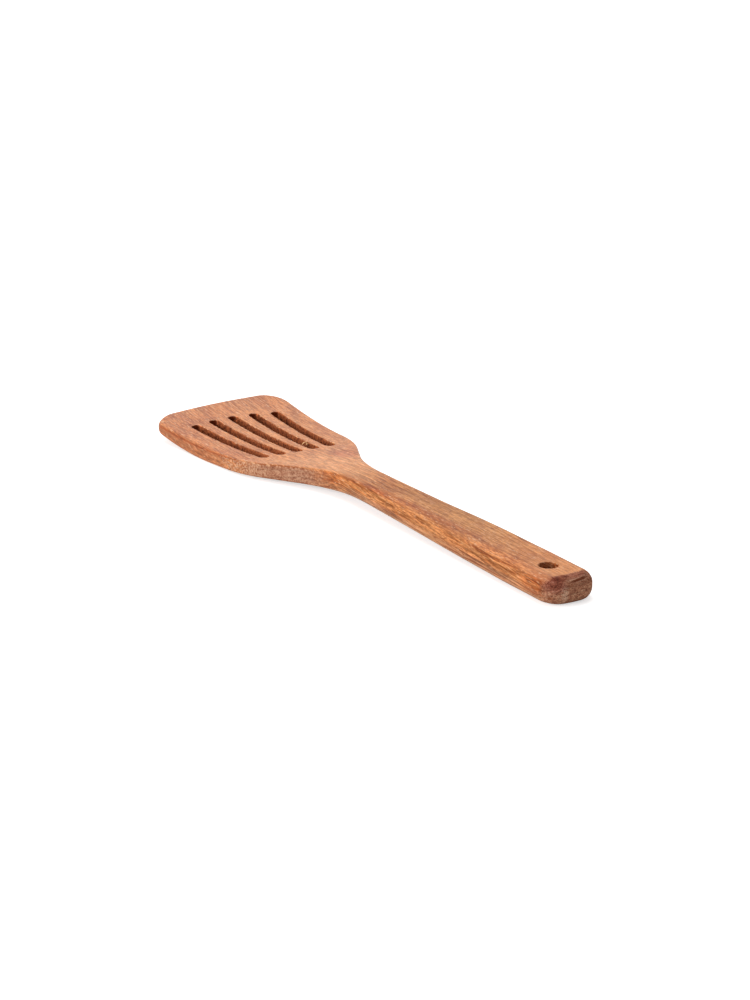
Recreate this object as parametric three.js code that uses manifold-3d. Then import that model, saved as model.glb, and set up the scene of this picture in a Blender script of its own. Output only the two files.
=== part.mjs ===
// A slotted kitchen turner carved from one board of hardwood: blade, neck and handle are a single piece.
// Millimetres, +Z up. X runs from the blade's front edge to the handle's end, and Y runs across.
// It lies face up as it rests on a table, on the belly of its blade and the end of its handle.

import * as THREE from 'three';
import Module from 'manifold-3d';

// Plan outline. Places are distances from the front edge, and widths are taken where the straight
// edges would meet before their corners are rounded.
const turnerLength = 320;
const bladeFrontWidth = 77;
const bladeRearWidth = 64.5;
const bladeRearPlace = 87;
const neckWidth = 19.8;
const neckPlace = 131;
const handleEndWidth = 28.5;
const frontSweepDegrees = 3.9;
const endSweepDegrees = 4;

// The front edge is cut out of square, farther back at its near corner than at its far one.
// The skew is taken at either corner and fades out toward the rear.
const frontSkew = 3.1;
const frontSkewReach = 30;

// Radii of the plan outline
const frontBowRadius = 265;
const frontCornerRadius = 13;
const shoulderRadius = 61.5;
const neckRadius = 67;
const endCornerRadius = 10.6;
const endBowRadius = 60;

// Upper side of the profile: the dished blade face, then the straight top of the handle
const frontThickness = 4.1;
const dishPlace = 44;
const dishHeight = 4.05;
const dishRadius = 455;
const crestPlace = 141;
const crestHeight = 12.9;
const crestRadius = 300;
const handleEndThickness = 11.65;

// Underside of the profile: it lifts to the front edge, rests on the belly and arches under the handle
const frontLift = 6.75;
const bellyPlace = 39.5;
const bellyHeight = -0.75;
const bellyRadius = 195;
const archPlace = 157.5;
const archHeight = 3.8;
const archRadius = 305;

// Rounded rims of the blade and of the handle
const bladeRimRadius = 2.2;
const handleRimRadius = 4.2;
const rimChangeLength = 65;
const rimShareOfThickness = 0.48;

// Slots, which fan out toward the front. The outer ones start farther back, and all end in one line.
const slotCount = 5;
const slotWidth = 5;
const slotFrontPlace = 20;
const slotFrontSetback = 3.4;
const slotFrontPitch = 11.4;
const slotRearPlace = 88;
const slotRearPitch = 9.2;

// Hang hole through the handle, and the eased rims of the openings
const hangHoleDiameter = 8.5;
const hangHolePlaceFromEnd = 20.5;
const openingRimEase = 0.4;
const cutterOvershoot = 1;

// Fineness of the facets
const chordError = 0.035;
const rimSteps = 4;
const stationStep = 7;
const straightMargin = 12;
const samePoint = 1e-6;

const wasm = await Module();
wasm.setup();

function corner(x, y, radius = 0) {
  return { at: new THREE.Vector2(x, y), radius };
}

function mirrored({ at, radius }) {
  return corner(at.x, -at.y, radius);
}

// Replaces each inner corner of a path by an arc that is tangent to both of its legs.
// Where two arcs would overlap on a leg, they are made smaller until they meet.
function roundCorners(path) {
  const legs = path.slice(1).map(({ at }, i) => at.clone().sub(path[i].at));
  const turns = legs.slice(1).map((leg, i) => Math.atan2(legs[i].cross(leg), legs[i].dot(leg)));
  const reach = turns.map((turn, i) => path[i + 1].radius * Math.tan(Math.abs(turn) / 2));
  const room = legs.map((leg, i) => leg.length() / ((reach[i - 1] ?? 0) + (reach[i] ?? 0)));
  return turns.map((turn, i) => {
    const scale = Math.min(1, room[i], room[i + 1]);
    const before = legs[i].clone().normalize();
    const after = legs[i + 1].clone().normalize();
    const side = Math.sign(turn);
    const radius = path[i + 1].radius * scale;
    const start = path[i + 1].at.clone().addScaledVector(before, -reach[i] * scale);
    const end = path[i + 1].at.clone().addScaledVector(after, reach[i] * scale);
    const toCenter = new THREE.Vector2(-before.y, before.x).multiplyScalar(side * radius);
    return { turn, side, radius, start, end, before, after, center: start.clone().add(toCenter) };
  });
}

// Number of chords that keep a stretch of an arc within the chord error
function arcSteps(arc, share) {
  if (arc.radius === 0) {
    return 0;
  }
  return Math.ceil((Math.abs(arc.turn) * share) / (2 * Math.acos(1 - chordError / arc.radius)));
}

// A point on an arc with the normal to the left of the path
function arcPoint(arc, share) {
  const spoke = arc.start.clone().sub(arc.center).rotateAround(new THREE.Vector2(), arc.turn * share);
  const at = arc.turn === 0 ? arc.start.clone() : arc.center.clone().add(spoke);
  const heading = arc.before.clone().rotateAround(new THREE.Vector2(), arc.turn * share);
  return { at, normal: new THREE.Vector2(-heading.y, heading.x) };
}

// Points between two ends of a straight stretch, one at each station that it crosses
function straightPoints(from, to, stations) {
  const heading = to.clone().sub(from).normalize();
  const normal = new THREE.Vector2(-heading.y, heading.x);
  const crossed = stations.filter((x) => x > from.x && x < to.x);
  return crossed.map((x) => ({ at: from.clone().lerp(to, (x - from.x) / (to.x - from.x)), normal }));
}

function stationsUpTo(limit) {
  const count = Math.max(Math.ceil(limit / stationStep) - 1, 0);
  return Array.from({ length: count }, (_, i) => (i + 1) * stationStep);
}

// One side of a plan outline from its front tip to its rear tip. Both tips lie on the axis,
// where the outline goes on as its own mirror image.
function sideOutline(corners, stations) {
  const path = [mirrored(corners[1]), ...corners, mirrored(corners.at(-2))];
  const arcs = roundCorners(path);
  const side = [];
  arcs.forEach((arc, i) => {
    const from = i === 0 ? 0.5 : 0;
    const to = i === arcs.length - 1 ? 0.5 : 1;
    const steps = arcSteps(arc, to - from);
    for (let k = 0; k <= steps; k += 1) {
      side.push(arcPoint(arc, from + ((to - from) * k) / Math.max(steps, 1)));
    }
    if (i < arcs.length - 1) {
      side.push(...straightPoints(arc.end, arcs[i + 1].start, stations));
    }
  });
  return side.filter(({ at }, i) => i === 0 || at.distanceTo(side[i - 1].at) > samePoint);
}

// One side of an opening with round ends, which is a circle where it is as long as it is wide
function roundEndedSide(length, width) {
  const half = width / 2;
  const corners = [corner(0, 0), corner(0, half, half), corner(length, half, half), corner(length, 0)];
  return sideOutline(corners, stationsUpTo(length));
}

// Height of a profile at any place along the turner
function profile(corners) {
  const arcs = roundCorners(corners);
  return (x) => {
    const arc = arcs.find(({ start, end }) => x >= start.x && x <= end.x);
    if (arc) {
      return arc.center.y - arc.side * Math.sqrt(arc.radius ** 2 - (x - arc.center.x) ** 2);
    }
    const next = arcs.find(({ start }) => x < start.x);
    const from = next ?? arcs.at(-1);
    const heading = next ? from.before : from.after;
    const at = next ? from.start : from.end;
    return at.y + ((x - at.x) * heading.y) / heading.x;
  };
}

// A closed solid between levels of one outline, from the lowest level to the highest.
// A level grows the outline outward and gives the height there, both from the place along the turner.
function slab(side, levels, place) {
  const tips = side.length - 1;
  const farSide = side.map((point) => [point, 1]);
  const nearSide = side.slice(1, -1).reverse().map((point) => [point, -1]);
  const round = [...farSide, ...nearSide];
  const ringSize = round.length;
  const positions = [];
  for (const { grow, height } of levels) {
    for (const [{ at, normal }, sign] of round) {
      const station = place(new THREE.Vector2(at.x, sign * at.y)).x;
      const grown = at.clone().addScaledVector(normal, grow(station));
      const plan = place(new THREE.Vector2(grown.x, sign * grown.y));
      positions.push(plan.x, plan.y, height(plan.x, station));
    }
  }
  const faces = [];
  const opposite = (i) => (ringSize - i) % ringSize;
  const addCap = (base, upward) => {
    for (let i = 0; i < tips; i += 1) {
      const quad = [opposite(i), opposite(i + 1), i + 1, i].map((k) => base + k);
      const triangles = [[quad[0], quad[1], quad[2]], [quad[0], quad[2], quad[3]]];
      const whole = triangles.filter((triangle) => new Set(triangle).size === 3);
      whole.forEach((triangle) => faces.push(...(upward ? triangle : triangle.reverse())));
    }
  };
  addCap(0, false);
  for (let j = 0; j < levels.length - 1; j += 1) {
    for (let i = 0; i < ringSize; i += 1) {
      const low = j * ringSize;
      const high = low + ringSize;
      const next = (i + 1) % ringSize;
      faces.push(low + i, high + i, low + next, low + next, high + i, high + next);
    }
  }
  addCap((levels.length - 1) * ringSize, true);
  const vertProperties = new Float32Array(positions);
  const triVerts = new Uint32Array(faces);
  return new wasm.Manifold(new wasm.Mesh({ numProp: 3, vertProperties, triVerts }));
}

// Upper and lower profiles of the turner
const top = profile([
  corner(0, frontLift + frontThickness),
  corner(dishPlace, dishHeight, dishRadius),
  corner(crestPlace, crestHeight, crestRadius),
  corner(turnerLength, handleEndThickness),
]);
const underside = profile([
  corner(0, frontLift),
  corner(bellyPlace, bellyHeight, bellyRadius),
  corner(archPlace, archHeight, archRadius),
  corner(turnerLength, 0),
]);

// Moves a plan point by the skew of the front edge
function skewed(point) {
  const fade = 1 - THREE.MathUtils.smoothstep(point.x, 0, frontSkewReach);
  const across = point.y / (bladeFrontWidth / 2);
  return new THREE.Vector2(point.x - frontSkew * across * fade, point.y);
}

// Radius of the rounded rim at a place along the turner
function rimRadius(x) {
  const share = THREE.MathUtils.smoothstep(x, bladeRearPlace, bladeRearPlace + rimChangeLength);
  const radius = THREE.MathUtils.lerp(bladeRimRadius, handleRimRadius, share);
  return Math.min(radius, rimShareOfThickness * (top(x) - underside(x)));
}

// Levels that round the rim of the upper or the lower face, from the lowest to the highest
function rimLevels(face, isTop) {
  const levels = [];
  for (let k = 0; k <= rimSteps; k += 1) {
    const angle = ((isTop ? rimSteps - k : k) / rimSteps) * (Math.PI / 2);
    const direction = isTop ? -1 : 1;
    levels.push({
      grow: (x) => -rimRadius(x) * (1 - Math.sin(angle)),
      height: (x, station) => face(x) + direction * rimRadius(station) * (1 - Math.cos(angle)),
    });
  }
  return levels;
}

// The carved blank: the plan outline with its two curved faces and rounded rims
function carvedBlank() {
  const frontSweep = THREE.MathUtils.degToRad(frontSweepDegrees);
  const endSweep = THREE.MathUtils.degToRad(endSweepDegrees);
  const frontTip = -frontBowRadius * (1 / Math.cos(frontSweep) - 1);
  const endTip = turnerLength + endBowRadius * (1 / Math.cos(endSweep) - 1);
  const frontHalf = bladeFrontWidth / 2;
  const endHalf = handleEndWidth / 2;
  const straightFrom = Math.max(crestPlace, archPlace, bladeRearPlace + rimChangeLength) + straightMargin;
  const corners = [
    corner(frontTip, 0, frontBowRadius),
    corner(frontTip + frontHalf * Math.tan(frontSweep), frontHalf, frontCornerRadius),
    corner(bladeRearPlace, bladeRearWidth / 2, shoulderRadius),
    corner(neckPlace, neckWidth / 2, neckRadius),
    corner(endTip - endHalf * Math.tan(endSweep), endHalf, endCornerRadius),
    corner(endTip, 0, endBowRadius),
  ];
  const side = sideOutline(corners, stationsUpTo(straightFrom));
  return slab(side, [...rimLevels(underside, false), ...rimLevels(top, true)], skewed);
}

// A cutter that goes through both faces and eases the rim where it meets them
function throughCutter(side, place) {
  const flare = openingRimEase + cutterOvershoot;
  const levels = [
    { grow: () => flare, height: (x) => underside(x) - cutterOvershoot },
    { grow: () => 0, height: (x) => underside(x) + openingRimEase },
    { grow: () => 0, height: (x) => top(x) - openingRimEase },
    { grow: () => flare, height: (x) => top(x) + cutterOvershoot },
  ];
  return slab(side, levels, place);
}

// One slot of the fan, counted from the near side to the far side
function slotCutter(index) {
  const offCenter = index - (slotCount - 1) / 2;
  const outermost = Math.max((slotCount - 1) / 2, 1);
  const setback = slotFrontSetback * (offCenter / outermost) ** 2;
  const front = new THREE.Vector2(slotFrontPlace + setback, offCenter * slotFrontPitch);
  const rear = new THREE.Vector2(slotRearPlace, offCenter * slotRearPitch);
  const run = rear.clone().sub(front);
  const side = roundEndedSide(run.length(), slotWidth);
  return throughCutter(side, (point) => point.rotateAround(new THREE.Vector2(), run.angle()).add(front));
}

function hangHoleCutter() {
  const front = new THREE.Vector2(turnerLength - hangHolePlaceFromEnd - hangHoleDiameter / 2, 0);
  const side = roundEndedSide(hangHoleDiameter, hangHoleDiameter);
  return throughCutter(side, (point) => point.add(front));
}

function geometryOf(solid) {
  const { vertProperties, triVerts } = solid.getMesh();
  const geometry = new THREE.BufferGeometry();
  geometry.setAttribute('position', new THREE.BufferAttribute(vertProperties, 3));
  geometry.setIndex(new THREE.BufferAttribute(triVerts, 1));
  geometry.computeVertexNormals();
  geometry.computeBoundingBox();
  return geometry;
}

let turnerSolid = carvedBlank().subtract(hangHoleCutter());
for (let index = 0; index < slotCount; index += 1) {
  turnerSolid = turnerSolid.subtract(slotCutter(index));
}

const oiledWood = new THREE.MeshStandardMaterial({ color: 0xbd8560, roughness: 0.55, metalness: 0 });
const turner = new THREE.Mesh(geometryOf(turnerSolid), oiledWood);
turner.name = 'turner';
const { min: lowCorner, max: highCorner } = turner.geometry.boundingBox;
turner.position.set(-(lowCorner.x + highCorner.x) / 2, -(lowCorner.y + highCorner.y) / 2, -lowCorner.z);

const object = new THREE.Group();
object.add(turner);

export default object;
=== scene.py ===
"""The looks of a slotted kitchen turner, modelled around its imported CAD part.

The turner is carved from one board, so it is one piece, with a few fibres that the router left
standing in its slots. All lengths are metres in the frame of the part: +X runs along the handle
toward its end, +Y across the blade and +Z up. Plan places are measured from the front edge. Places
in the figure of the wood are millimetres in the frame of the part.
"""

import math

import bmesh
import bpy
from bpy.props import FloatProperty, FloatVectorProperty, IntProperty, PointerProperty
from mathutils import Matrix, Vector, noise


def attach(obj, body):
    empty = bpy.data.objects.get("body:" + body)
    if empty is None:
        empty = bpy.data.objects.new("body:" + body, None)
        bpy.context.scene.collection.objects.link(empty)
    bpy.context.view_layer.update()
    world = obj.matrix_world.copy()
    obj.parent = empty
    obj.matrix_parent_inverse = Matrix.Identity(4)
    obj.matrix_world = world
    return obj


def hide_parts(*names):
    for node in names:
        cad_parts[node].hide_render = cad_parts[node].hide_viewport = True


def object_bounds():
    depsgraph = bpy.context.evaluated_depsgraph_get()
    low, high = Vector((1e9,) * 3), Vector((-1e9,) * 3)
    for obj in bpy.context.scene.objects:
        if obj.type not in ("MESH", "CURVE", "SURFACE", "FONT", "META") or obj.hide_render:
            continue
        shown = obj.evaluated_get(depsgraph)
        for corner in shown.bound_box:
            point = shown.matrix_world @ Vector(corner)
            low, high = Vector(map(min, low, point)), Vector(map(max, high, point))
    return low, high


bl_info = {
    "name": "Slotted turner",
    "version": (1, 0, 0),
    "blender": (4, 5, 0),
    "location": "View3D > Sidebar > Turner",
    "description": "Carves a slotted wooden turner and sets it in a plain studio",
    "category": "Object",
}

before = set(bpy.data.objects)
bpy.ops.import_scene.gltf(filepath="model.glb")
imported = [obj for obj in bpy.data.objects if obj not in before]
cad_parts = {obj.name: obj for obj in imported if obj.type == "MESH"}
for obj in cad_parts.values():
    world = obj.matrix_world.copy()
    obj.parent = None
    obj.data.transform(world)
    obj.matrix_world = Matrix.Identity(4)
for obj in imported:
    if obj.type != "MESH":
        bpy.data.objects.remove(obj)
cad_low, cad_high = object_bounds()

MM = 0.001
MM_PER_METRE = (1000, 1000, 1000)

# Fineness of the carved mesh
OUTLINE_STEP = 1.2 * MM
SLOT_STEP = 0.6 * MM
LARGEST_TURN = math.radians(7)
RIM_STEPS = 8
WALL_STEPS = 4
OPENING_RIM_STEPS = 3
OPENING_WALL_STEPS = 6
STATION_STEP = 2.5 * MM
FLAT_THICKNESS = 20 * MM
FLAT_ANGLE = math.radians(1)
SAME_POINT = 0.002 * MM
CLOSEST_POINTS = 0.2 * MM

# Point data that the flat blank carries until it is raised to the profile
ORDER = "order"
CAP = "cap"
DROP = "drop"
RISE = "rise"
TOP_CAP = 1
BOTTOM_CAP = 2

# Point data that the wood's material reads
OPENING_WALL = "opening_wall"
SLOT_SAWN = 1.0
HOLE_SAWN = 0.9
RIM = "rim"
SHARE = "height_share"
READ_DATA = (OPENING_WALL, RIM, SHARE)

# All point data that are floats
FLOAT_DATA = (*READ_DATA, DROP, RISE)

# Stretches over which the rims change, as shares of the shoulders' place or of the neck's place
SHOULDER_RIM = (0.6, 0.9)
SOFT_RIM = (0.45, 0.85)
HANDLE_RIM = (0.85, 1.25)
CRISP_BLADE = (0.9, 1.15)
CRISP_HANDLE = (1.5, 1.8)
WORN_HANDLE = (1.1, 1.6)

# Stretches over which the rims change, as distances before the handle's end
END_SIDES = (45 * MM, 6 * MM)
END_FACE = (15 * MM, 1 * MM)
CRISP_HANDLE_END = (75 * MM, 40 * MM)

# How crisp the handle's upper rim is, how much of that the lower one has, and where the soft corner faces
HANDLE_CRISPNESS = 0.7
LOWER_CRISPNESS = 0.3
SOFT_CORNER = (-0.44, -0.9)

# Unevenness of the openings' rims
RAGGED_SIZE = 1.4 * MM
RAGGED_DEPTH = 1.6
LEAST_RIM = 0.25
LOWER_SEED = 0.5

# Run of the grain: its falls per length, its bend at the front, its waves, its middle and its rings
GRAIN_DRIFT = 0.02
GRAIN_FALL = 0.03
GRAIN_FALL_NEAR = 0.05
NEAR_SIDE = (-5, -12)
FRONT_BEND = 6
FRONT_BEND_SPAN = (-104, -166)
WAVES = (6, 0.06, 2, 0.5)
WAVE_HEIGHTS = (0, 4, 3)
PITH = (0, 10, -80)
ACROSS_GRAIN = (0, 1, 1)
RING_WIDTH = 3.3
RING_WAVES = 0.9

# Figure of the wood: where it is read, its stretch along the grain, scale, detail and roughness
FIGURE_GROUP = "wood figure"
FIGURE = {
    "streaks": ("grain", 20, 0.85, 4, 0.62),
    "curls": ("grain", 8, 1.35, 3, 0.6),
    "fibres": ("grain", 9, 2.6, 2, 0.5),
    "pores": ("grain", 9, 1.9, 1, 0.4),
    "drift": ("board", 5, 0.045, 2, 0.5),
    "clouds": ("grain", 1.8, 0.13, 4, 0.6),
    "flecks": ("shifted grain", 5, 1.1, 3, 0.6),
    "mottle": ("shifted grain", 3.5, 1.25, 3, 0.65),
    "lines": ("shifted grain", 45, 2.0, 2, 0.5),
    "bands": ("shifted grain", 40, 0.75, 3, 0.6),
}
FIGURE_SHIFT = (310, 170, 90)
SPARSE_FIGURE = {"curls": (0.55, 0.64), "pores": (0.6, 0.7), "flecks": (0.57, 0.68)}

# Other noises: how the place is scaled on each axis, then scale, detail and roughness
NOISES = {
    "specks": ((1, 1, 1), 1.3, 3, 0.5),
    "nicks": ((0.45, 1, 1), 1.1, 2, 0.5),
    "layers": ((1, 0.3, 1), 0.95, 4, 0.65),
    "end_specks": ((1, 1, 1), 2.1, 2, 0.6),
    "scorch": ((1, 1, 1), 0.75, 5, 0.65),
}
NOISE_MEAN = 0.5
UNEVENNESS = (0.5, -0.25)

# Patches of the board: the middle and radii of each, and its strength where that varies
PATCHES = {
    "brown_patch": ((62, 3, 13.5), (95, 24, 5)),
    "neck_patch": ((-30, 0, 11), (62, 32, 9)),
    "nicked_patch": ((-26, -9.5, 9.6), (19, 6.5, 5)),
    "speckled_patch": ((-73, -31, 4.5), (25, 11, 9)),
    "chipped_patch": ((-52, -26, 9), (34, 17, 9)),
    "foxed_patch": ((149, -14, 8), (15, 7, 7)),
    "purple_patch": ((158, -9, 9.5), (9, 7, 5)),
    "crack_patch": ((160, 3.5, 10.3), (8, 8, 3)),
}
HEART_PATCHES = (
    ((62, -6, 13.5), (64, 4.5, 3.4)),
    ((8, -8.2, 11.4), (34, 2.2, 2.4)),
    ((-53, 13, 11), (14, 9, 8)),
)
# Painted shade: patches that darken the wood, most of all over the blade's front and its far strip, so that
# the front lies darker than the rear
SHADE_PATCHES = (
    ((-142, -20, 9), (30, 26, 8)),
    ((-108, 31, 7), (48, 13, 8)),
    ((-108, -37, 6), (42, 8, 9)),
    ((-22, -13, 6), (34, 8, 8)),
)
# Partly painted light, partly paler wood: patches that lighten the wood, more on the upper faces than on the
# sides; the first two paint the light on the blade's rear, its neck and the handle's end
LIT_AND_PALE_PATCHES = (
    ((-36, 0, 12), (48, 27, 8), 0.42),
    ((146, 2, 12), (26, 17, 5), 0.32),
    ((62, -14, 6), (36, 6, 6), 0.6),
    ((-104, 10, 8), (64, 40, 14), 0.18),
    ((-58, -20, 8), (24, 12, 8), 0.3),
    ((76, 3, 12.5), (72, 14, 4), 0.14),
    ((141, -11.5, 6), (12, 6, 6), 0.5),
)
BLEACHED_PATCHES = (
    ((-45, -16, 5), (15, 9, 6), 0.18),
    ((158, 3.0, 11.2), (9, 9, 2.2), 0.95),
    ((160, -5.2, 5.5), (6, 2.4, 6), 0.52),
)
PATCH_CORE = 0.35
BLEACHED_LAYERS = (0.38, 0.52)

# Masks: what each reads, from where it starts to where it is full, and its values there if not 0 and 1
MASKS = {
    # Zones along the board
    "butt": ("along", 125, 145),
    "low_zone": ("along", -75, -45),
    "calm_zone": ("along", -78, -102),
    "handle_zone": ("along", -25, 10),
    "golden_zone": ("along", 135, 105),
    "slot_zone": ("along", -20, -60),
    "rim_line_zone": ("along", -62, -92),
    # Bands of a side, from 0 at its foot to 1 at its top
    "low_band": ("height_share", 0.75, 0.15),
    "golden_foot": ("height_share", 0.45, 0.58),
    "golden_top": ("height_share", 0.9, 0.72),
    # Ways that a surface faces, as parts of its normal
    "top": ("upward", 0.7, 0.985),
    "side": ("sideward", 0.35, 0.85),
    "cut_across": ("cut_angle", 0.1, 0.42),
    "rim_side": ("ragged_end", -0.12, 0.14),
    "rim_line_foot": ("upward", 0.3, 0.5),
    "rim_line_top": ("upward", 0.82, 0.62),
    "rim_line_side": ("farward", -0.05, -0.4),
    "end_rim_tone": ("upward", 0.85, 0.96, 0.42, 1),
    "brushed_side": ("away", 0.1, 0.4),
    "round_end": ("endward", 0.25, 0.75, 0, 0.5),
    "torn_start": ("endward", 0.1, 0.22),
    "torn_end": ("endward", 0.65, 0.4),
    "torn_side": ("farward", 0, -0.3),
    # Facings of the slots' front tips that get painted shade, where their walls face away from the lamps
    "tip_side": ("farward", 0.1, 0.6),
    "tip_front": ("endward", 0, 0.3),
    "arc": ("ragged_arc", 0.4, 0.9),
    # Stretches across a rim, from 0 at its edges to 1 at its middle
    "end_rim_start": ("ragged_rim", 0.05, 0.45),
    "end_rim_fade": ("butt_rim", 0, 0.1),
    "foxed_rim": ("butt_rim", 0, 0.3),
    "rim_line_start": ("rim", 0, 0.2),
    "brushed_rim": ("rim", 0, 0.5, 0, 0.45),
    "lower_line_start": ("lower_rim", 0, 0.35),
    "lower_line_end": ("lower_rim", 0.75, 0.4),
    "scuffed_rim": ("lower_rim", 0.5, 0.9, 0, 0.6),
    # Spots of the figure and of the other noises
    "shaded": ("shade", 0.54, 0.4),
    "grey_drift": ("drift", 0.42, 0.62),
    "rosy_clouds": ("clouds", 0.55, 0.38),
    "pale_specks": ("specks", 0.43, 0.61, 0, 0.7),
    "dark_specks": ("specks", 0.47, 0.37, 0, 0.55),
    "scuffed_specks": ("specks", 0.35, 0.6),
    "lower_line_streaks": ("streaks", 0.62, 0.4, 0, 0.6),
    "chipped": ("nicks", 0.54, 0.64),
    "worn": ("nicks", 0.54, 0.44),
    "frayed": ("nicks", 0.56, 0.64),
    "crack": ("off_crack", 0.5, 0.2),
    # Brightness that the figure and the other noises give
    "fibre_tone": ("fibres", 0.35, 0.65, 0.79, 1.23),
    "mottle_tone": ("mottle", 0.33, 0.67, 0.88, 1.28),
    "line_tone": ("lines", 0.38, 0.62, 0.66, 1.36),
    "golden_tone": ("lines", 0.38, 0.62, 1.08, 1.3),
    "band_tone": ("bands", 0.36, 0.64, 0.7, 1.3),
    "ring_tone": ("rings", 0.55, 0.97, 1, 0.85),
    "end_ring_tone": ("rings", 0.8, 0.97, 1, 0.72),
    "end_speck_tone": ("end_specks", 0.36, 0.64, 0.7, 1.34),
    "torn_tone": ("specks", 0.38, 0.58, 1.3, 2.5),
    # Strengths outside and inside another mask
    "streak_gain": ("top", 0, 1, 1.05, 0.75),
    "fibre_strength": ("top", 0, 1, 1, 0.55),
    "mottle_strength": ("top", 0, 1, 0.5, 0.8),
    "grey_strength": ("top", 0, 1, 1, 0.4),
    "fleck_strength": ("top", 0, 1, 0.3, 0.5),
    "pore_strength": ("top", 0, 1, 0.6, 0.42),
    "low_lines": ("low", 0, 1, 0.7, 1),
    "calm_lines": ("calm", 0, 1, 1, 0.35),
    "side_curls": ("side", 0, 1, 0.42, 0.65),
    "low_curls": ("low", 0, 1, 1, 0.3),
    "calm_curls": ("calm", 0, 1, 1, 0.4),
    "dry_sides": ("top", 0, 1, 0.35, 1),
    "matte_ends": ("crosscut", 0, 1, 1, 0.15),
}

# Shares in which values are added up, and strengths that stay the same
BUTT_STEEPNESS = (0.25, -0.16)
END_RIM_LEAN = -0.6
END_RAGGEDNESS = 0.4
ARC_RAGGEDNESS = 1.6
NECK_STREAKS = 0.8
CALM_STREAKS = -0.5
NECK_MOTTLE = -0.45
FIBRE_SHADE = 0.45
MOTTLE_SHADE = 0.55
NICKED_FLECKS = 0.45
NICKED_REDNESS = 0.7
LOW_PALENESS = 0.25
CALM_PALENESS = 0.1
GOLDEN_PALENESS = 0.12
PALE_SIDES = 0.35
END_STREAKS = 0.3
END_LAYERS = 0.5
END_FIBRES = 0.2
CRACK_HEIGHT = 10.1
CRACK_RISE = 0.05
CRACK_DEPTH = 0.95
BRINK_GAIN = 4
FRAYING = 0.8
WEAR = 0.8
CHIPPING = 0.5

# Noise values at which a colour ramp has its colours
STREAK_STOPS = (0.35, 0.45, 0.53, 0.66)
END_STOPS = (0.38, 0.5, 0.63)
WALL_STOPS = (0.36, 0.64)
FIBRE_STOPS = (0.3, 0.45)

# Gloss and relief of the surface
WOOD_IOR = 1.32
SHEEN_ZONE = (-50, 15)
GLOSS_SPAN = (0.3, 0.7)
DULLER_STREAKS = 0.08
GLOSSIER_STREAKS = 0.06
FIBRE_RELIEF = 0.6
PORE_RELIEF = -0.8
CURL_RELIEF = -1
STREAK_RELIEF = 0.6
WALL_RELIEF = 6
WOOD_BUMP = (0.7, 0.08 * MM)
FIBRE_BUMP = (0.5, 0.05 * MM)

# Fibres that the router tore loose and left in the slots, as paths in millimetres with their thickness
TORN_FIBRES = (
    (((-85.7, 12.5, 6.8), (-85.2, 11.4, 7.4), (-84.4, 9.9, 7.6), (-83.6, 8.4, 7.2)), 0.95),
    (((-84.2, 12.3, 6.6), (-83.6, 11.2, 7.1), (-82.3, 9.8, 7.0)), 0.6),
    (((-76.2, 21.4, 7.8), (-74.8, 21.3, 8.3), (-73.4, 21.0, 8.4)), 0.36),
    (((-98.2, 12.9, 6.9), (-96.5, 12.7, 7.4), (-94.6, 12.3, 7.3)), 0.36),
)
FIBRE_TIP_SHARE = 0.35
FIBRE_SHEEN = 0.1
FIBRE_ROUNDNESS = 2

# Lamps, camera and floor of the studio
TOP_LAMP_PLACE = (-0.75, 0.25, 1.35)
TOP_LAMP_SIZE = (1.5, 1.5)
SIDE_LAMP_PLACE = (-0.25, -1.5, 0.5)
SIDE_LAMP_SIZE = (1.4, 0.9)
AIM_HEIGHT = 8 * MM
SENSOR_WIDTH = 36
CLIP_START = 0.01
FLOOR_SIZE = 12
FLOOR_PARTS = 8
FLOOR_DEPTH = 0.02 * MM
FLOOR_COLOUR = (0.8, 0.8, 0.8, 1)
FLOOR_GLOW = 0.6


def length(description, millimetres):
    """A length that is given in millimetres and kept in metres."""
    return FloatProperty(description=description, default=millimetres * MM, unit="LENGTH", precision=5)


def angle(description, degrees):
    """An angle that is given in degrees and kept in radians."""
    kind = {"unit": "ROTATION", "subtype": "ANGLE"}
    return FloatProperty(description=description, default=math.radians(degrees), **kind)


def share(description, default):
    """A value from 0 to 1."""
    return FloatProperty(description=description, default=default, min=0, max=1, subtype="FACTOR")


def power(description, watts):
    """The power of a lamp."""
    return FloatProperty(description=description, default=watts, min=0, unit="POWER")


def colour(description, *default):
    """A linear colour."""
    kind = {"min": 0, "max": 1, "size": 3, "subtype": "COLOR"}
    return FloatVectorProperty(description=description, default=default, **kind)


def tint(surface, *default):
    """A linear colour that multiplies the colour of a surface."""
    return colour("Multiplies " + surface, *default)


def labelled(group):
    """Labels each property of a group in the sidebar with the words of its name."""
    for name, held in group.__annotations__.items():
        held.keywords["name"] = name.replace("_", " ").capitalize()
    return group


@labelled
class TurnerOutline(bpy.types.PropertyGroup):
    """Plan outline of the blank, with widths where the straight edges would meet."""

    turner_length: length("From the front edge to the handle's end", 320)
    blade_front_width: length("Across the front corners", 76.92)
    blade_rear_width: length("Across the shoulders", 64.5)
    blade_rear_place: length("Where the shoulders start", 87)
    neck_width: length("Across the neck", 19.8)
    neck_place: length("Where the handle starts", 131)
    handle_end_width: length("Across the handle's end", 28.5)
    front_sweep: angle("How far the front edge falls back at its corners", 3.9)
    end_sweep: angle("How far the handle's end falls back at its corners", 4)
    front_bow_radius: length("Bow of the front edge", 265)
    front_corner_radius: length("Corners of the blade", 13)
    shoulder_radius: length("Shoulders of the blade", 61.5)
    neck_radius: length("Hollow between shoulder and handle", 67)
    end_corner_radius: length("Corners of the handle's end", 10.6)
    end_bow_radius: length("Bow of the handle's end", 60)
    front_skew: length("How far the front edge runs out of square at its corners", 3.09)
    front_skew_reach: length("Where the skew has faded out", 30)


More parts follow.
